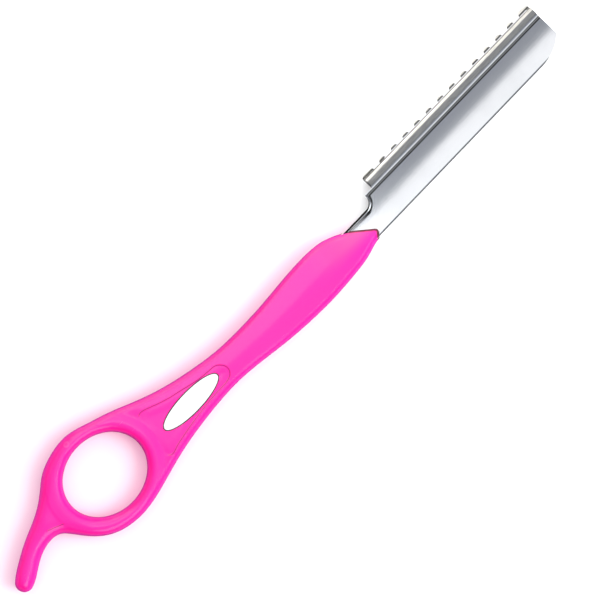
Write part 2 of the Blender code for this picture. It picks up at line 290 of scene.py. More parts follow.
def pinkPlastic():
    # gloss moulded plastic: a faint orange peel, flow streaks in the colour, patches in the gloss, painted shade at
    # the mouth, along the moulded lines and where the surface turns away, a painted highlight towards the mouth and
    # a pale spot
    made, root, shader = newMaterial("pinkPlastic", {
        "Specular IOR Level": 0.5, "IOR": 1.49, "Coat Roughness": 0.12})
    plain = objectPlace(root)
    flow = objectPlace(root, (0.25, 1, 1)).noise(60, 3).ramp(0.3, 0.75)
    patches = plain.noise(34, 4) - 0.5
    scuffs = objectPlace(root, (1, 9, 9), 0.5).noise(300, 2).ramp(0.66, 0.8, 0.0, 0.05)
    pink = flow.blend(plastic["color"], plastic["deepColor"])
    # painted highlight, paler towards the mouth, by X and Y in metres
    neck = plain.axis(0).ramp(0.01, 0.033) * plain.axis(1).ramp(-0.0095, -0.0045)
    pink = neck.blend(pink, plastic["neckHighlightColor"])
    # painted shade along the field's moulded line and along the tail's crease
    line = abs(root.mask("fieldLine")).ramp(*plastic["lineWidth"], 1.0, 0.0) * root.mask("lineShown")
    pink = line.blend(pink, plastic["lineShadeColor"])
    # a faint pale spot with a paler ring round one point on top of the finger ring, by distance in metres
    spotDistance = plain.node("ShaderNodeVectorMath", {"operation": "DISTANCE"}, {
        0: plain, 1: plastic["paleSpotPlace"]}, output=1)
    paleSpot = spotDistance.ramp(0.0002, 0.0007, 0.05, 0.18) * spotDistance.ramp(0.0008, 0.0012, 1, 0)
    pink = paleSpot.blend(pink, plastic["paleSpotColor"])
    # painted shade at the edges, by how far the surface turns away from the eye
    grazing = root.node("ShaderNodeLayerWeight", {}, {"Blend": 0.5}, output=1)
    pink = grazing.ramp(0.22, 0.75).blend(pink, plastic["edgeShadeColor"])
    # painted shade where the mouth turns in
    root.mask("rim").blend(pink, plastic["mouthShadeColor"]).feed(shader, "Base Color")
    (plastic["roughness"] + patches * 0.08 + scuffs).feed(shader, "Roughness")
    (plastic["coat"] + patches * 0.2).feed(shader, "Coat Weight")
    plain.noise(420, 1).bump(shader, 0.00001)
    return made


steel = {
    "warmColor": (0.86, 0.85, 0.8),  # the folded lip
    "streakColor": (0.7, 0.695, 0.66),
    "lipStart": (0.0018, 0.0022),  # where the lip begins, in metres along Y
    "creaseShadeColor": (0.006, 0.006, 0.007),
}
# colour, roughness, depth of the grain in metres and spread of the roughness
steelKinds = {
    "holderSteel": ((0.84, 0.87, 0.91), 0.12, 0.0000025, 0.04),
    "bladeBackSteel": ((0.6, 0.62, 0.65), 0.28, 0.000005, 0.1),
    "bladeEdgeSteel": ((0.84, 0.85, 0.88), 0.1, 0.000003, 0.04),
    "pinSteel": ((0.62, 0.62, 0.64), 0.35, 0.000006, 0.1),
}


def shaded(color, share):
    # a colour times a share
    return tuple(share * channel for channel in color)


def polishedSteel(name):
    # polished plate: long grain, soft clouds in the gloss, and on the holder a warm lip and painted shade in the
    # folds
    color, roughness, grain, spread = steelKinds[name]
    made, root, shader = newMaterial(name, {"Metallic": 1.0})
    plain = objectPlace(root)
    lines = objectPlace(root, (0.02, 1, 1)).noise(5200, 3, 0.6)
    clouds = plain.noise(70, 3)
    tone = clouds.ramp(0.35, 0.7).blend(color, shaded(color, 0.93))
    if name == "holderSteel":
        lip = plain.axis(1).ramp(*steel["lipStart"])
        streaks = objectPlace(root, (0.12, 1, 1), 0.1).noise(2600, 3, 0.65).ramp(0.42, 0.66)
        tone = lip.blend(tone, streaks.blend(steel["warmColor"], steel["streakColor"]))
        # painted shade in the folds and along the edges
        tone = root.mask("creaseShade").blend(tone, steel["creaseShadeColor"])
    tone.feed(shader, "Base Color")
    (roughness + (lines - 0.5) * spread + (clouds - 0.5) * spread).feed(shader, "Roughness")
    lines.bump(shader, grain)
    return made


film = {
    "color": (0.64, 0.64, 0.65),
    "speckColor": (0.6, 0.6, 0.615),
    "rimShadeColor": (0.035, 0.01, 0.032),
    "coat": 0.5,
}


def labelPlastic():
    # white film under a clear coat, very slightly uneven, with painted shade over its side, its rounded edge and a
    # narrow band within
    made, root, shader = newMaterial("labelWhite", {"Roughness": 0.3, "Coat Roughness": 0.05})
    plain = objectPlace(root)
    speck = plain.noise(900, 3)
    white = speck.ramp(0.4, 0.7).blend(film["color"], film["speckColor"])
    # painted shade over the side, the rounded edge and a narrow band within
    root.mask("rim").blend(white, film["rimShadeColor"]).feed(shader, "Base Color")
    (film["coat"] + (plain.noise(120) - 0.5) * 0.3).feed(shader, "Coat Weight")
    speck.bump(shader, 0.000006)
    return made


pinkMaterial = pinkPlastic()
steelMaterials = {name: polishedSteel(name) for name in steelKinds}
labelMaterial = labelPlastic()
print("materials made")


handle = {
    "hole": (27.7, 23.4),
    "holePlace": np.array((0.4, -0.15)),
    "gripSize": (110.6, 15.15),
    "ringRadius": 16.45,
    "tailLength": 43.1,
    "tailShifts": ((0.1, -0.08), (0.15, -0.2)),  # the tail's outer and inner side move by this
    "lowerReach": 0.22,  # the lower edge's flash line stands out by this
    "tailEnd": (-40.0, -5.2, 2.9, 118, 298),  # the tail's end arc: centre, radius and angles
    "edgeRound": 2.05,  # how far in the rounding reaches from the outline
    "holeRound": 2.3,
    "sideHeight": 3.34,  # half thickness just inside the rounding
    "ridgeSlope": 0.075,  # how fast the two flanks rise towards the soft ridge
    "ridgeSoftness": 1.1,
    "ridgeAtHole": 0.35,  # share of that slope beside the hole
    "ridgeFade": (3.0, 12.0),  # the rest returns between these distances from it
    "seam": 0.035,  # half of the parting line's gap
    "neckStart": 90,  # the outline crosses the neck line beyond this
    "collar": (3.1, 1.5, 0.3),  # raised collar round the hole: crest, width and height
    "collarFade": (0.5, 3.0),  # it comes in between these distances from the outline
    "collarStep": (4.9, 0.8, 0.12),  # its outer step: place, width and drop
    "collarReach": 9.5,  # and where that step has faded out
    "flank": (1.05, 0.5, 2.9),  # tail and outer arm: lower edge by, rise for each millimetre, and how far in
    "flankSoftness": 0.5,
    "flankCollar": 0.8,  # share of the collar that it takes away
    "field": (0.1, 3.46, 0.24),  # the label's field: drop, level and width of its edge
    "fieldFades": ((4.2, 8.5), (0.2, 3.0), (1.2, 3.2)),  # distances from the hole, its line and the outline
    "pocket": (-3.6, -10.3, 42.0, -1.5, 1.95),  # for the tang: from X and Y to X and Y, half of its height
    "smoothAngle": 40,
    "mouthLine": (0.5, 0.78),  # painted shade up to, and gone from, this distance to the neck line
    "fieldLineStart": (20.5, 21.1),  # radius round the ring where the painted shade of the field's line comes in
}
# stations along each sheet of the handle, and between its rounded edges
gridCounts = {"grip": (265, 38), "tail": (60, 14), "ring": (170, 16), "neck": 60, "hole": 240}
mouthStations = [0.993, 0.9945, 0.9965, 0.998, 0.999]  # extra ones close to the mouth, as shares of the grip
gripUpper = [
    (1.09, -0.37), (1.06, -0.13), (0.985, -0.19), (0.934, -0.12), (0.906, -0.018),
    (0.869, 0.086), (0.815, 0.135), (0.732, 0.125), (0.623, 0.073), (0.542, 0.064),
    (0.459, 0.092), (0.378, 0.188), (0.296, 0.33),
]
gripLower = [
    (0.213, -0.772), (0.296, -0.686), (0.378, -0.637), (0.459, -0.64), (0.542, -0.713),
    (0.623, -0.795), (0.705, -0.845), (0.788, -0.861), (0.869, -0.832), (0.936, -0.769),
    (0.978, -0.693), (1.06, -0.61),
]
ringUpper = [
    (1.435, 0.498), (0.888, 0.73), (0.5, 0.866), (0.0, 1.0), (-0.398, 0.96),
    (-0.766, 0.827), (-1.13, 0.562),
]
ringLower = [
    (-1.185, -0.304), (-0.948, -0.614), (-0.669, -0.845), (-0.35, -0.965), (0.0, -1.0),
    (0.517, -0.927), (0.888, -0.833),
]
tailOuter = [(-0.573, 0.362), (-0.712, 0.213), (-0.854, 0.024)]
tailInner = [(-0.782, -0.289), (-0.677, -0.158), (-0.592, -0.119), (-0.515, -0.158)]
neckEnd = [
    (0.915, 0.018), (0.998, -0.505), (1.002, -0.545), (1.0, -0.585), (0.994, -0.635), (0.985, -0.75),
]
fieldCorners = [
    (49.4, -4.3), (48.9, -3.0), (47.6, -1.7), (44.9, -1.15), (38.9, -0.25), (33.6, 1.1),
    (30.4, 1.9), (27.3, 2.95), (24.2, 4.2), (20.6, 4.75), (19.3, 3.0), (18.9, -1.0),
    (18.6, -5.0), (17.6, -8.8), (18.7, -10.45), (21.6, -10.05), (25.1, -9.3), (29.6, -8.55),
    (33.1, -8.1), (38.9, -7.55), (43.5, -7.4), (47.2, -7.1), (48.9, -6.0),
]
tailCrease = np.array([(-23.9, 0.7), (-18.2, -1.7)])


def closedSpline(points, steps):
    # cubic spans through the points, with slopes solved so that the curvature is continuous
    points = np.asarray(points, float)
    count = len(points)
    ahead = np.roll(points, -1, axis=0)
    chord = np.linalg.norm(ahead - points, axis=1)
    before = np.roll(chord, 1)
    system = np.zeros((count, count))
    here = np.arange(count)
    system[here, here] = 2 / before + 2 / chord
    system[here, (here - 1) % count] += 1 / before
    system[here, (here + 1) % count] += 1 / chord
    rise = (ahead - points) / chord[:, None] ** 2
    slopes = np.linalg.solve(system, 3 * (rise + np.roll(rise, 1, axis=0)))
    length = chord[:, None, None]
    start, leave, end, arrive = hermite(np.linspace(0, 1, steps, endpoint=False)[None, :, None])
    path = (start * points[:, None] + leave * length * slopes[:, None]
            + end * ahead[:, None] + arrive * length * np.roll(slopes, -1, axis=0)[:, None])
    return path.reshape(-1, 2)


def resample(path, places):
    # points at shares of the path's length
    steps = np.linalg.norm(np.diff(path, axis=0), axis=1)
    run = np.concatenate([[0], np.cumsum(steps)]) / steps.sum()
    return np.stack([np.interp(places, run, path[:, axis]) for axis in (0, 1)], axis=-1)


def pathDistance(points, path, closed=False):
    # least distance from each point to a path of short straight runs
    if closed:
        path = np.vstack([path, path[:1]])
    start, run = path[:-1], np.diff(path, axis=0)
    runSquare = (run ** 2).sum(axis=1)
    found = np.empty(len(points))
    for first in range(0, len(points), chunk):
        gap = points[first:first + chunk, None] - start[None]
        share = np.clip((gap * run[None]).sum(axis=2) / runSquare[None], 0, 1)
        square = ((gap - share[..., None] * run[None]) ** 2).sum(axis=2)
        found[first:first + chunk] = np.sqrt(square.min(axis=1))
    return found


def insideOf(points, path):
    # true where the closed path winds round the point
    found = np.zeros(len(points))
    for first in range(0, len(points), chunk):
        spokes = path[None] - points[first:first + chunk, None]
        ahead = np.roll(spokes, -1, axis=1)
        cross = spokes[..., 0] * ahead[..., 1] - spokes[..., 1] * ahead[..., 0]
        found[first:first + chunk] = np.arctan2(cross, (spokes * ahead).sum(axis=2)).sum(axis=1)
    return np.abs(found) > math.pi


def smooth(value, low, high):
    # 0 up to low, 1 from high on, an even S curve between them
    share = np.clip((value - low) / (high - low), 0, 1)
    return share * share * (3 - 2 * share)


gripSize, tailSize = handle["gripSize"], (handle["tailLength"], handle["ringRadius"])
spanSteps, tailSteps = 24, 5  # outline points from one listed point to the next, runs of the tail's end arc
outline = closedSpline(np.vstack([
    np.array(gripUpper) * gripSize,
    np.array(ringUpper) * handle["ringRadius"],
    np.array(tailOuter) * tailSize + handle["tailShifts"][0],
    arcPath(handle["tailEnd"][:2], *handle["tailEnd"][2:], tailSteps),
    np.array(tailInner) * tailSize + handle["tailShifts"][1],
    np.array(ringLower) * (handle["ringRadius"] + handle["lowerReach"]),
    np.array(gripLower) * gripSize - (0, handle["lowerReach"]),
]), spanSteps)
arcFirst = (len(gripUpper) + len(ringUpper) + len(tailOuter)) * spanSteps
arcLast = arcFirst + tailSteps * spanSteps
tailTip = (arcFirst + arcLast) // 2
neckLine = np.array(neckEnd) * gripSize
fieldOutline = closedSpline(fieldCorners, 10)


def holeEllipse(angles):
    # points of the finger hole's edge, half its length and width from its centre
    spokes = np.stack([np.cos(angles), np.sin(angles)], axis=-1) * handle["hole"]
    return handle["holePlace"] + 0.5 * spokes


def neckX(y):
    # where the neck line lies at each Y
    return np.interp(-y, -neckLine[:, 1], neckLine[:, 0])


def beyondNeck(points):
    # true past the neck line
    return (points[:, 0] > handle["neckStart"]) & (points[:, 0] > neckX(points[:, 1]))


def edgeStations(lengths, roundStart, roundEnd, middle, steps=8):
    # distances along each spoke: fine at both rounded ends, even between them
    turn = 1 - np.cos(np.linspace(0, math.pi / 2, steps + 1))
    startReach, endReach = (np.minimum(reach, mostOfRun * lengths) for reach in (roundStart, roundEnd))
    head = startReach[:, None] * turn[None]
    tail = lengths[:, None] - (endReach[:, None] * turn[None])[:, ::-1]
    share = np.linspace(0, 1, middle + 2)[None, 1:-1]
    body = head[:, -1:] * (1 - share) + tail[:, :1] * share
    return np.hstack([head, body, tail])


def patch(top, bottom, right, middle, along):
    # a sheet between four edges, the left one straight: the sum of both straight blends less the corners' blend
    top, bottom = resample(top, along), resample(bottom, along)
    lengths = np.linalg.norm(top - bottom, axis=1)
    across = edgeStations(lengths, handle["edgeRound"], handle["edgeRound"], middle) / lengths[:, None]
    left = np.array([bottom[0], top[0]])
    leftSide, rightSide = (resample(side, across.ravel()).reshape(*across.shape, 2) for side in (left, right))
    s, v = along[:, None, None], across[..., None]
    straight = (1 - v) * bottom[:, None] + v * top[:, None]
    sideways = (1 - s) * leftSide + s * rightSide
    corners = ((1 - s) * (1 - v) * bottom[0] + s * (1 - v) * bottom[-1]
               + (1 - s) * v * top[0] + s * v * top[-1])
    return straight + sideways - corners


def handleGrids():
    # three sheets that share edges: the grip, the tail, and the ring between the hole and both of them
    (gripRows, gripMiddle), (tailRows, tailMiddle), (ringRows, ringMiddle) = (
        gridCounts[name] for name in ("grip", "tail", "ring"))
    gripStart, tailStart = 19, -20
    gone = beyondNeck(outline)
    first = int(np.argmin(gone))
    last = len(outline) - 1 - int(np.argmin(gone[::-1]))
    upperGrip, upperTail = (
        first + int(np.argmax(outline[first:, 0] < start)) for start in (gripStart, tailStart))
    lowerTail = arcLast + int(np.argmax(outline[arcLast:, 0] > tailStart))
    lowerGrip = lowerTail + int(np.argmax(outline[lowerTail:, 0] > gripStart))
    neckY = np.linspace(outline[last, 1], outline[first, 1], gridCounts["neck"])
    neckPath = np.column_stack([neckX(neckY), neckY])
    neckPath[0], neckPath[-1] = outline[last], outline[first]
    spots = np.union1d(np.linspace(0, 1, gripRows), mouthStations)
    grip = patch(outline[first:upperGrip + 1][::-1], outline[lowerGrip:last + 1], neckPath, gripMiddle, spots)
    tail = patch(
        outline[upperTail:arcFirst + 1], outline[arcLast:lowerTail + 1][::-1],
        outline[arcFirst:arcLast + 1][::-1], tailMiddle, np.linspace(0, 1, tailRows))
    spots = np.linspace(0, 1, ringRows)
    ringTop = resample(outline[upperGrip:upperTail + 1], spots)
    ringBottom = resample(outline[lowerTail:lowerGrip + 1], spots)
    outer = np.vstack([ringTop, tail[0][::-1][1:], ringBottom[1:], grip[0][1:-1]])
    x, y = (outer / handle["hole"]).T
    inner = holeEllipse(np.arctan2(y, x))
    lengths = np.linalg.norm(outer - inner, axis=1)
    share = edgeStations(lengths, handle["holeRound"], handle["edgeRound"], ringMiddle) / lengths[:, None]
    ring = inner[None] * (1 - share.T[..., None]) + outer[None] * share.T[..., None]
    return grip, tail, ring


holeOutline = holeEllipse(np.linspace(0, 2 * math.pi, gridCounts["hole"], endpoint=False))


def quarterRound(distance, reach):
    # height over a rounded edge: a quarter circle from 0 at the edge to 1 at the reach
    return np.sqrt(1 - (1 - np.clip(distance / reach, 0, 1)) ** 2)


def fieldDepth(points):
    # distance from the line round the label's field, negative outside it
    depth = pathDistance(points, fieldOutline, closed=True)
    return np.where(insideOf(points, fieldOutline), depth, -depth)


def flankShare(points):
    # 1 on the tail, past tailX, and on the arm beside it, by the angle round the ring; 0 on the rest
    x, y = points.T
    tailX = 21
    angle = np.degrees(np.arctan2(y, x)) % 360
    arm = smooth(angle, 55, 100) * (1 - smooth(angle, 185, 215)) * (x > -tailX)
    return np.maximum(arm * smooth(np.hypot(x, y), 9, 12), smooth(-x, 15, tailX))


def domeHeight(points, front):
    # half thickness: rounded edges, two flanks up to a soft ridge, a collar round the hole, a sunk field
    upper = pathDistance(points, outline[:tailTip + 1])
    lower = pathDistance(points, np.vstack([outline[tailTip:], outline[:1]]))
    hole = pathDistance(points, holeOutline, closed=True)
    outer = np.minimum(upper, lower)
    soft = handle["ridgeSoftness"]
    near = np.clip(-soft * np.log(np.exp(-upper / soft) + np.exp(-lower / soft)), 0, None)
    flank = flankShare(points)
    drop, steep, reach = handle["flank"]
    soft = handle["flankSoftness"]
    capped = -soft * np.log(np.exp(-near / soft) + math.exp(-reach / soft))
    least = handle["ridgeAtHole"]
    fade = least + (1 - least) * smooth(hole, *handle["ridgeFade"])
    body = handle["sideHeight"] + handle["ridgeSlope"] * near * fade * (1 - flank)
    body += (steep * capped - drop) * flank
    crest, width, rise = handle["collar"]
    collar = rise * np.exp(-((hole - crest) / width) ** 2) * smooth(outer, *handle["collarFade"])
    body += collar * (1 - handle["flankCollar"] * flank)
    start, width, drop = handle["collarStep"]
    step = drop * smooth(hole, start, start + width)
    body -= step * smooth(-hole, -handle["collarReach"], -start - width)
    if front:
        depth = fieldDepth(points)
        drop, level, edge = handle["field"]
        fromHole, fromLine, fromOutline = handle["fieldFades"]
        flat = body - drop * smooth(hole, *fromHole)
        flat += (level - flat) * smooth(depth, *fromLine) * smooth(outer, *fromOutline)
        body += (flat - body) * smooth(depth, -edge / 2, edge / 2)
    rounding = quarterRound(outer, handle["edgeRound"])
    return np.maximum(body * rounding * quarterRound(hole, handle["holeRound"]), handle["seam"])


def makeShell(name, side):
    # half of the handle as one closed shell; side is 1 for the label side and -1 for the back
    vertices, faces = [], []
    count = 0
    for index, sheet in enumerate(handleGrids()):
        rows, columns = sheet.shape[:2]
        flat = sheet.reshape(-1, 2)
        height = razor["midZ"] + side * domeHeight(flat, side > 0)
        vertices.append(np.column_stack([flat[:, 0] + razor["ringX"], flat[:, 1], height]))
        faces.append(gridFaces(rows, columns, count, closed=index == 2))
        count += len(flat)
        if index == 0:
            neckTop = vertices[0].reshape(rows, columns, 3)[-1]
    # the end wall runs from the neck's edge straight down to the seam
    seamZ = razor["midZ"] + side * handle["seam"]
    steps = 5
    levels = np.linspace(0, 1, steps)[:, None]
    wall = np.repeat(neckTop[None], steps, axis=0)
    wall[..., 2] = neckTop[None, :, 2] * (1 - levels) + seamZ * levels
    vertices.append(wall.reshape(-1, 3))
    faces.append(gridFaces(steps, len(neckTop), count))
    shell = makeObject(name, np.vstack(vertices), np.vstack(faces).tolist())
    weld(shell)
    fromX, fromY, toX, toY, half = handle["pocket"]
    corners = [(fromX, fromY), (toX, fromY), (toX, toY), (fromX, toY)]
    pocket = prism("pocket", corners, razor["midZ"] - half, razor["midZ"] + half)
    carve(shell, pocket, smoothAngle=handle["smoothAngle"])
    shell.data.materials.append(pinkMaterial)
    return shell


def paintShell(shell, front):
    # painted shade where the mouth turns in; the distance to the moulded lines, negative inside them, and where the
    # painted shade along them shows
    place = readPoints(shell)
    plan = place[:, :2] - (razor["ringX"], 0)
    writeMask(shell, "rim", 1 - smooth(pathDistance(plan, neckLine), *handle["mouthLine"]))
    start, run = tailCrease[0], tailCrease[1] - tailCrease[0]
    length = np.linalg.norm(run)
    along = (plan - start) @ run / length
    aside = (plan - start) @ (run[1], -run[0]) / length
    tail = plan[:, 0] < 0
    writeMask(shell, "fieldLine", np.where(tail, aside, -fieldDepth(plan)))
    fade, half, rise = 0.8, 2, 0.5
    creaseShade = smooth(along, 0, fade) * (1 - smooth(along, length - fade, length)) * (np.abs(aside) < half)
    fieldLine = smooth(np.hypot(plan[:, 0], plan[:, 1]), *handle["fieldLineStart"])
    writeMask(shell, "lineShown", np.where(tail, creaseShade, fieldLine) * (place[:, 2] > razor["midZ"] + rise) * front)


label = {
    "length": 23.3,
    "width": 6.8,
    "distance": 34.35,
    "across": -3.77,
    "gap": 0.07,
    "floor": 6.7,
    "top": 7.42,
    "above": 9.0,  # the recess is cut from the floor to here
    "crown": 0.07,
    "edge": 0.2,
    "border": (0.3, 0.36),  # in from its side: the painted shade ends, the white film begins
    "filmRise": 0.002,
    "crownShares": (0.94, 0.86, 0.76, 0.64, 0.5, 0.36, 0.22, 0.1, 0.0),
    "stations": 120,
}


def labelRing(grow=0.0, share=1.0):
    # the label's oval, grown by a distance or shrunk to a share of itself
    turn = np.linspace(0, 2 * math.pi, label["stations"], endpoint=False)
    x = (label["length"] / 2 + grow) * share * np.cos(turn) + razor["ringX"] + label["distance"]
    y = (label["width"] / 2 + grow) * share * np.sin(turn) + label["across"]
    return np.stack([x, y], axis=-1)


def makeLabel():
    # rings up its side and over a rounded edge, then shrinking shares of the oval on a faint crown
    edge, top, inner = label["edge"], label["top"], label["border"][1]
    turn = np.linspace(0, math.pi / 2, 6)
    levels = [(labelRing(), label["floor"])]
    levels += [(labelRing(-inset), top - edge + rise)
               for inset, rise in zip(edge * (1 - np.cos(turn)), edge * np.sin(turn))]
    levels += [(labelRing(-inset), top + rise) for inset, rise in zip(label["border"], (0, label["filmRise"]))]
    levels += [(labelRing(-inner, share), top + label["crown"] * (1 - share ** 2)) for share in label["crownShares"]]
    rings = np.vstack([atHeight(*level) for level in levels])
    plate = makeObject("labelPlate", rings, gridFaces(len(levels), label["stations"], closed=True).tolist())
    weld(plate)
    smoothBy(plate, angle=50)
    height = readPoints(plate)[:, 2]
    # painted shade up to the film's top
    writeMask(plate, "rim", 1 - smooth(height, top, top + label["filmRise"]))
    plate.data.materials.append(labelMaterial)
    return plate


handleFront = makeShell("handleFront", 1)
recess = prism("labelRecess", labelRing(label["gap"]), label["floor"], label["above"])
carve(handleFront, recess, smoothAngle=handle["smoothAngle"])
handleBack = makeShell("handleBack", -1)
labelPlate = makeLabel()
paintShell(handleFront, True)
paintShell(handleBack, False)
for piece, node in ((handleFront, "handle_front"), (handleBack, "handle_back"), (labelPlate, "label_plate")):
    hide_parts(node)
    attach(piece, "razor")
print("handle made:", len(handleFront.data.polygons), "and", len(handleBack.data.polygons), "faces")


holder = {
    "sheet": 0.5,
    "leafZ": 0.7,  # middle of each leaf's sheet above and below the blade's plane
    "roll": (1.6, 0.1, 1.8, 161),  # the spine's middle line: top, radius there and beside it, angle between them
    "leafTilt": (1.5, 9.0),  # degrees, by the step and by the spine
    "plateFoot": (10.45, 0.72),
    "plateWidth": 10.55,
    "flangeBend": 10.8,  # from here the flange rises to the plate's foot
    "flangeStart": 11.75,
    "flangeEdge": 11.69,
    "bulge": (1.2, 1.95, 1.575, 64, 0.32),  # outer and inner radius, height, inner side's slope and fillet
    "lipReach": 15.04,
    "lipTurn": -8,  # degrees: the lip's arc starts below its widest point
    "combReach": 16.6,
    "valley": (0.8, 2.6, 0.8),  # middle, end and depth of the groove in the back leaf
    "toothBend": (15.42, 15.72, 0.27, 0.12),  # start and end of the bend, its rise, and the fall to the tip
    "backFillets": (1.2, 0.5, 0.9, 0.32, 0.32),
    "spineThin": (0.32, 0.8, 0.15, 0.75),  # across, most thinning as a share, whole to and gone from this distance
    "stations": (35, 46.05, 0.13, 46.2),  # close together round the notch: from, to and step; then from here
    "tangX": -3.3,
    "tangWidth": 8.35,
    "combLength": 72.3,
    "teeth": 14,
    "pitch": 5.08,
    "gap": 2.6,
    "toothDepth": 3.6,
    "endTooth": 2.87,
    "endArcShare": 0.95,  # the comb's corner arcs are centred this share of their radius in
    "toothTaper": 0.4,
    "tipCorner": (16.0, 3.8),  # radius and depth of the rounded corner at the open end
    "tipStart": -87,  # degrees, where its arc starts
    "notch": (1.9, 3.0),  # inset from the neck, and radius
    "edgeReach": (-20, 140),  # the leaf's edge line runs on to these places along X
    "cutter": (5, 22, 24, 14),  # how far below or beyond, across for the plan and the gaps, and up it reaches
}
# pressed bead along the edge of the front leaf: distance in from the edge, and height
beadShape = [(-0.45, 0.0), (0.2, 0.22), (0.34, 0.1), (0.42, 0.1), (0.78, 0.2), (0.93, 0.0), (1.4, 0.0)]


def notchArc(steps=24):
    # the quarter circle between the flange's end and the tang
    inset, radius = holder["notch"]
    return arcPath((razor["neckX"] + inset, holder["tangWidth"] + radius), radius, 0, -90, steps)


def leafEdge():
    # the front leaf's edge: along the flange, round the notch and down the tang, as (x, across)
    arc = notchArc()
    edge = holder["flangeEdge"]
    corner = arc[0, 0] + edge - arc[0, 1]
    low, high = holder["edgeReach"]
    return np.vstack([[(high, edge), (corner, edge)], arc, [(low, holder["tangWidth"])]])


def edgeDistance(x, across):
    # distance in from the leaf's edge, negative beyond it
    edge = leafEdge()
    points = np.column_stack([x.ravel(), across.ravel()])
    limit = np.interp(points[:, 0], edge[::-1, 0], edge[::-1, 1])
    away = pathDistance(points, edge)
    return np.where(points[:, 1] > limit, -away, away).reshape(x.shape)


def bulgePath(half):
    # from the lip over the bulge's two arcs, down its slope and round a fillet to the flange
    level = holder["leafZ"]
    outer, inner, height, slope, fillet = holder["bulge"]
    crown, top = holder["lipReach"] - outer, level + height - half
    outer, inner = outer - half, inner - half
    fall = arcPath((crown, top - inner), inner, 90, 90 + slope, 16)
    foot = fall[-1, 0] - (fall[-1, 1] - level) / math.tan(math.radians(slope))
    return np.vstack([
        arcPath((crown, top - outer), outer, holder["lipTurn"], 90, 16)[:-1], fall[:-1],
        filletPath([fall[-1], (foot, level), (holder["flangeStart"], level)], [fillet], 6)])


def holderSection():
    # the folded sheet's middle line as (across, up), and where on it the front leaf starts and ends
    half = holder["sheet"] / 2
    level = holder["leafZ"]
    bulge = bulgePath(half)
    # the spine's centres: the large arc touches the edge line, and the small one meets it at the break
    rollTop, corner, spine, rollBreak = holder["roll"]
    turn = math.radians(rollBreak)
    spineX = half + spine
    cornerZ = rollTop - corner
    spineZ = cornerZ + (corner - spine) * math.sin(turn)
    cornerX = spineX + (spine - corner) * math.cos(turn)
    # the plate: one cubic span from its foot to the spine
    rise = math.radians(holder["leafTilt"][1])
    end = (cornerX + corner * math.sin(rise), cornerZ + corner * math.cos(rise))
    foot = holder["plateFoot"]
    run = foot[0] - end[0]
    split, count = 0.36, 28
    t = np.concatenate([np.linspace(0, split, 34), np.linspace(split, 1, 24)[1:]])
    tilt = [math.tan(math.radians(angle)) * run for angle in holder["leafTilt"]]
    start, leave, stop, arrive = hermite(t)
    leaf = np.column_stack([
        foot[0] - run * t, start * foot[1] + leave * tilt[0] + stop * end[1] + arrive * tilt[1]])
    flange = np.column_stack([np.linspace(holder["flangeStart"], foot[0], count), np.full(count, level)])
    flange[:, 1] += (foot[1] - level) * smooth(-flange[:, 0], -holder["flangeBend"], -foot[0])
    # the roll ends where its tangent runs to the pinch
    pinch = np.array((holder["plateWidth"], -level))
    gap = pinch - (spineX, spineZ)
    touch = math.degrees(math.atan2(gap[1], gap[0]) - math.acos(spine / np.hypot(*gap))) + 360
    roll = np.vstack([
        arcPath((cornerX, cornerZ), corner, 90 - holder["leafTilt"][1], rollBreak, 12)[:-1],
        arcPath((spineX, spineZ), spine, rollBreak, touch, 36)])
    middle, last, depth = holder["valley"]
    bendStart, bendEnd, bendRise, tipFall = holder["toothBend"]
    width, low = pinch
    back = filletPath(
        [roll[-1], pinch, (width + middle, low - depth), (width + last, low), (bendStart, low),
         (bendEnd, low + bendRise), (holder["combReach"], low + bendRise - tipFall)],
        holder["backFillets"])
    section = np.vstack([bulge, flange[1:], leaf[1:], roll[1:], back[1:]])
    return section, len(bulge), len(bulge) + len(flange) + len(leaf) - 2


def makeHolderSheet():
    # the section carried along X, its faces half a sheet from the middle line, and the bead raised on the front
    section, first, last = holderSection()
    over = 4
    fineStart, fineEnd, fineStep, plainStart = holder["stations"]
    places = np.concatenate([
        np.linspace(holder["tangX"] - over, fineStart, 8)[:-1], np.arange(fineStart, fineEnd, fineStep),
        np.linspace(plainStart, razor["tipX"] + over, 10)])
    tangent = np.gradient(section, axis=0)
    tangent /= np.linalg.norm(tangent, axis=1)[:, None]
    normal = np.column_stack([-tangent[:, 1], tangent[:, 0]]) * holder["sheet"] / 2
    # thinner inside the spine's tight corner, so that the inner face doesn't cross itself
    across, most, near, far = holder["spineThin"]
    toCorner = np.linalg.norm(section - (across, holder["roll"][0]), axis=1)
    inner = normal * (1 - most * (1 - smooth(toCorner, near, far)))[:, None]
    loop = np.vstack([section - normal, (section + inner)[::-1]])
    count, half = len(loop), len(section)
    rings = np.empty((len(places), count, 3))
    rings[..., 0] = places[:, None]
    rings[..., 1] = loop[:, 0]
    rings[..., 2] = loop[:, 1] + razor["midZ"]
    leaf = slice(first, last)
    knots = np.array(beadShape)
    distance = edgeDistance(rings[:, leaf, 0], rings[:, leaf, 1])
    rings[:, leaf, 2] += np.interp(distance, knots[:, 0], knots[:, 1])
    rings[..., 1] += razor["spineY"]
    faces = gridFaces(len(places), count, closed=True)
    step = np.arange(half - 1)[:, None]
    cap = np.hstack([step, step + 1, count - 2 - step, count - 1 - step])
    faces = np.vstack([faces, cap, cap + (len(places) - 1) * count])
    piece = makeObject("bladeHolder", rings.reshape(-1, 3), faces.tolist())
    weld(piece)
    return piece


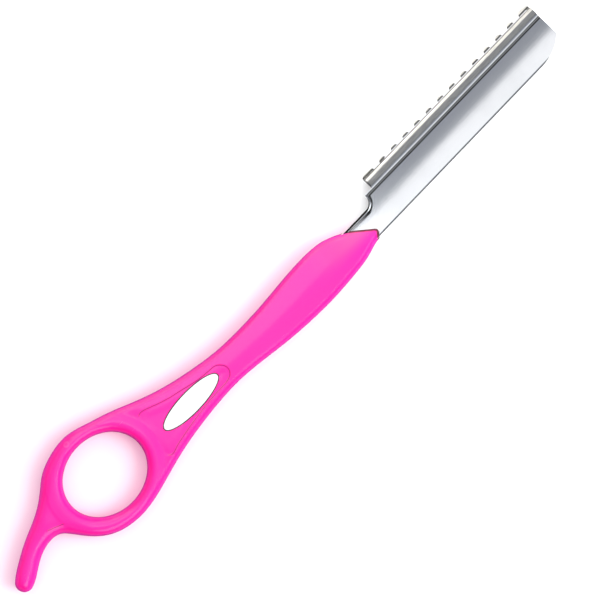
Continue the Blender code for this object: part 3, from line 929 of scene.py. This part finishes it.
def holderPlan():
    # the holder from above: tang, S shaped notch, comb side and the rounded corner of its open end
    radius, depth = holder["tipCorner"]
    tip, tang = razor["tipX"], holder["tangX"]
    over, far = holder["cutter"][:2]
    centerX = tip - math.sqrt(radius ** 2 - (radius - depth) ** 2)
    lastAngle = -math.degrees(math.asin((radius - depth) / radius))
    corner = arcPath((centerX, radius), radius, holder["tipStart"], lastAngle, 30)
    combX = tip - holder["combLength"]
    plan = np.vstack([
        [(tang, -over), (centerX, -over)], corner, [(tip, far), (combX, far), (combX, holder["flangeEdge"])],
        leafEdge()[1:-1], [(tang, holder["tangWidth"])]])
    plan[:, 1] += razor["spineY"]
    return plan


def combGaps():
    # what is missing between and beyond the round tipped teeth
    pitch, gap, reach, depth, length = (
        holder[name] for name in ("pitch", "gap", "combReach", "toothDepth", "combLength"))
    over, _, far, _ = holder["cutter"]
    tipRadius, gapRadius = (pitch - gap) / 2, gap / 2
    tipLine, gapLine = reach - tipRadius, reach - depth + gapRadius
    tipX, combX = razor["tipX"], razor["tipX"] - length
    inset = tipRadius * holder["endArcShare"]
    parts = [[(tipX + over, far), (tipX + over, tipLine)], arcPath((tipX - inset, tipLine), tipRadius, 0, 90, 12)]
    for index in range(holder["teeth"] - 1):
        tooth = tipX - holder["endTooth"] - index * pitch
        parts += [arcPath((tooth, tipLine), tipRadius, 90, 180, 12),
                  arcPath((tooth - pitch / 2, gapLine), gapRadius, 0, -180, 18),
                  arcPath((tooth - pitch, tipLine), tipRadius, 0, 90, 12)[:-1]]
    parts.append(arcPath((combX + inset, tipLine), tipRadius, 90, 180, 12))
    parts.append([(combX - over, tipLine), (combX - over, far)])
    gaps = np.vstack(parts)
    # the teeth reach a little less towards the handle
    gaps[:, 1] += razor["spineY"] - holder["toothTaper"] * np.clip((tipX - gaps[:, 0]) / length, 0, 1)
    return gaps


# where painted shade lies in the holder's folds
creaseShades = {
    "tang": (40.6, 42.2),  # along X: the tang's edge line ends and the bead's lines begin
    "down": (37.6, 41.7),  # along X: the bend from the tang up to the flange
    # bands of painted shade in from the leaf's edge: start, end, softness and how dark
    "deep": (0.78, 1.17, 0.07),
    "deepDown": (0.22, 0.4, 0.16),  # what that bend adds
    "deepShown": (0.3, 32.0, 39.0),  # how dark at the tang, and where along X it is whole
    "fine": (0.28, 0.6, 0.06, 0.9),
    "between": (0.6, 0.8, 0.05, 0.45),
    "outer": (0.26, 0.38),  # the tang's edge line: whole to and gone from here
    "outerDown": (0.3, 0.36),
    "foot": (12.05, 12.2, 0.1, 0.35),  # band at the lip's foot, across
    "end": (0.1, 0.6, 0.75),  # the lip's end, along X from the comb's
    "tooth": (0.02, -0.04, 0.1, 0.4),  # band on each tooth, from the start and end of its bend
    "front": (0.3, 1.2),  # the front leaf is all that lies above and across beyond these
}


def band(value, low, high, soft, dark=1):
    # dark from low to high, softened to 0 on both sides
    return smooth(value, low - soft, low) * (1 - smooth(value, high, high + soft)) * dark


def paintCreaseShade(piece):
    # painted shade in each fold: the bead's lines, the notch's edge, the lip's foot and end, the bend in the teeth
    x, y, z = readPoints(piece).T
    across, up = y - razor["spineY"], z - razor["midZ"]
    distance = edgeDistance(x, across)
    tang, down = (1 - smooth(x, *creaseShades[name]) for name in ("tang", "down"))
    deepEdges, outerEdges = (
        [edge + more * down for edge, more in zip(creaseShades[name], creaseShades[name + "Down"])]
        for name in ("deep", "outer"))
    least, low, high = creaseShades["deepShown"]
    lines = [band(distance, *deepEdges) * (least + (1 - least) * smooth(x, low, high))]
    lines += [band(distance, *creaseShades[name]) * (1 - tang) for name in ("fine", "between")]
    lines.append((1 - smooth(distance, *outerEdges)) * tang)
    lines.append(band(across, *creaseShades["foot"]) * (up < creaseShades["front"][1]))
    combX = razor["tipX"] - holder["combLength"]
    start, end, dark = creaseShades["end"]
    lines.append((1 - smooth(x, combX + start, combX + end)) * dark * (across > creaseShades["foot"][1]))
    bend, after = holder["toothBend"], creaseShades["tooth"]
    tooth = band(across, bend[0] + after[0], bend[1] + after[1], *after[2:]) * (up < 0)
    onFront = (up > creaseShades["front"][0]) & (across > creaseShades["front"][1])
    writeMask(piece, "creaseShade", np.maximum(np.maximum.reduce(lines) * onFront, tooth))


def makeHolder():
    # the folded sheet cut to its plan, the gaps cut from its lower leaf, and all sharp edges rounded
    piece = makeHolderSheet()
    below, _, _, top = holder["cutter"]
    carve(piece, prism("holderPlan", holderPlan(), -below, top), "INTERSECT")
    carve(piece, prism("combGaps", combGaps(), -below, razor["midZ"]), smoothAngle=28)
    edges = piece.modifiers.new("edges", "BEVEL")
    edges.width = 0.2 * mm
    edges.segments = 2
    edges.limit_method = "ANGLE"
    edges.angle_limit = math.radians(55)
    applyModifiers(piece, smoothAngle=17)
    paintCreaseShade(piece)
    piece.data.materials.append(steelMaterials["holderSteel"])
    return piece


bladeHolder = makeHolder()
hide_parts("blade_holder")
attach(bladeHolder, "razor")
print("holder made:", len(bladeHolder.data.polygons), "faces")


for node, name in (("blade_back", "bladeBackSteel"), ("blade_edge", "bladeEdgeSteel"),
                   ("tang_pin_1", "pinSteel"), ("tang_pin_2", "pinSteel")):
    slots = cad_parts[node].data.materials
    slots.clear()
    slots.append(steelMaterials[name])
print("blade and pins finished")


studio = {
    "view": (5.3, -6.2),  # the point in the middle of the picture
    "turn": -46.2,  # degrees from +X to the picture's right
    "width": 181.2,  # what the picture's width covers at the parting plane
    "floor": (0.69, 0.69, 0.69),
    "floorGlow": (1, 0, 0.5),  # painted pink bounce light, which keeps the shadows pale and pink
    "headGlow": (1.2, 1.2, 1.2),  # painted light, which keeps the shadows beside the steel neutral
    "farGlow": (1.5, 1.5, 1.5),  # painted light, which brightens the floor further out
    "sky": (0.305, 0.313, 0.34),
    "darkSide": (0.08, 0.08, 0.09),
    "brightSide": (0.8, 0.8, 0.82),
    "ground": (0.02, 0.02, 0.022),
}


def makeFloor():
    # the floor glows with painted light and lights the object from below, but isn't mirrored in it
    half, level = 3000, -0.02
    corners = [(-half, -half, level), (half, -half, level), (half, half, level), (-half, half, level)]
    floor = makeObject("floor", corners, [[0, 1, 2, 3]])
    made, root, shader = newMaterial("paleFloor", {
        "Roughness": 0.6, "Specular IOR Level": 0.2, "Emission Strength": 0.2})
    place = objectPlace(root)
    away = place.node("ShaderNodeVectorMath", {"operation": "LENGTH"}, {0: place}, output=1)
    glow = place.axis(0).ramp(0.026, 0.038).blend(studio["floorGlow"], studio["headGlow"])
    away.ramp(0.16, 0.5).blend(glow, studio["farGlow"]).feed(shader, "Emission Color")
    place.noise(6, 2).blend(studio["floor"], shaded(studio["floor"], 0.99)).feed(shader, "Base Color")
    floor.data.materials.append(made)
    floor.visible_glossy = False
    floor.visible_shadow = False


def makeLight(name, place, facing, size, radiance, kind, color=(1, 1, 1), shadow=True):
    # an area light's power is its radiance times its area times pi; a fill isn't mirrored, a gloss is only mirrored
    upright = 0.95
    lamp = bpy.data.lights.new(name, "AREA")
    lamp.shape = "RECTANGLE"
    lamp.size, lamp.size_y = size
    lamp.energy = radiance * size[0] * size[1] * math.pi
    lamp.color = color
    held = bpy.data.objects.new(name, lamp)
    bpy.context.scene.collection.objects.link(held)
    aim = np.array(facing, float) / np.linalg.norm(facing)
    side = np.cross((0, 1, 0) if abs(aim[2]) > upright else (0, 0, 1), -aim)
    side /= np.linalg.norm(side)
    up = np.cross(-aim, side)
    turn = Matrix((side, up, -aim)).transposed().to_4x4()
    turn.translation = place
    held.matrix_world = turn
    held.visible_camera = False
    held.visible_glossy = kind == "gloss"
    held.visible_diffuse = kind == "fill"
    lamp.use_shadow = shadow


def makeWorld():
    # the sky's colour by direction: dark beyond the tail, bright beyond the tip, nearly black below the horizon
    world = bpy.data.worlds.new("studio")
    world.use_nodes = True
    direction = Wire(world.node_tree).node("ShaderNodeTexCoord")
    along = direction.axis(0)
    sky = along.ramp(0.22, 0.5).blend(studio["sky"], studio["brightSide"])
    sky = along.ramp(-0.5, -0.22).blend(studio["darkSide"], sky)
    sky = direction.axis(2).ramp(-0.04, 0.12).blend(studio["ground"], sky)
    sky.feed(world.node_tree.nodes["Background"], "Color")
    bpy.context.scene.world = world


def makeCamera():
    # straight above the view point, at the height where the lens covers the width
    lens = bpy.data.cameras.new("camera")
    lens.lens, lens.sensor_width = 200, 36
    lens.clip_start, lens.clip_end = 0.05, 20
    held = bpy.data.objects.new("camera", lens)
    bpy.context.scene.collection.objects.link(held)
    height = lens.lens / lens.sensor_width * studio["width"] + razor["midZ"]
    place = Matrix.Translation((studio["view"][0] * mm, studio["view"][1] * mm, height * mm))
    held.matrix_world = place @ Matrix.Rotation(math.radians(studio["turn"]), 4, "Z")
    bpy.context.scene.camera = held


makeFloor()
# soft light that falls on everything: place, facing, size in metres and radiance
makeLight("dome", (0, 0, 0.5), (0, 0, -1), (1.8, 1.8), 0.95, "fill")
makeLight("key", (0.2, -0.37, 0.4), (-0.274, 0.37, -0.4), (0.4, 0.4), 6.6, "fill")
makeLight("side", (-0.12, 0.42, 0.17), (0.1, -0.42, -0.16), (0.6, 0.3), 1.2, "fill", shadow=False)
makeLight("headFill", (0.099, 0.017, 0.033), (0, 0, -1), (0.098, 0.056), 3.4, "fill", shadow=False)
# panels that show only as reflections
makeLight("gripPanel", (-0.034, 0.46, 0.6), (0, 0, -1), (0.152, 0.88), 1.95, "gloss")
makeLight("gripLowPanel", (-0.034, -0.24, 0.6), (0, 0, -1), (0.152, 0.52), 0.6, "gloss")
makeLight("headPanel", (0.165, 0.425, 0.112), (0, -0.85, -0.526), (0.27, 1.24), 0.8, "gloss", (1, 0.967, 0.925))
makeLight("ringPanel", (-0.215, -0.29, 0.24), (0, 0.8, -0.6), (0.32, 0.32), 2.2, "gloss")
makeLight("sidePanel", (0.04, 0.5, 0.2), (0, -0.5, -0.18), (0.2, 0.26), 1.6, "gloss")
makeWorld()
bpy.context.scene.view_settings.view_transform = "Standard"
makeCamera()
print("studio made")
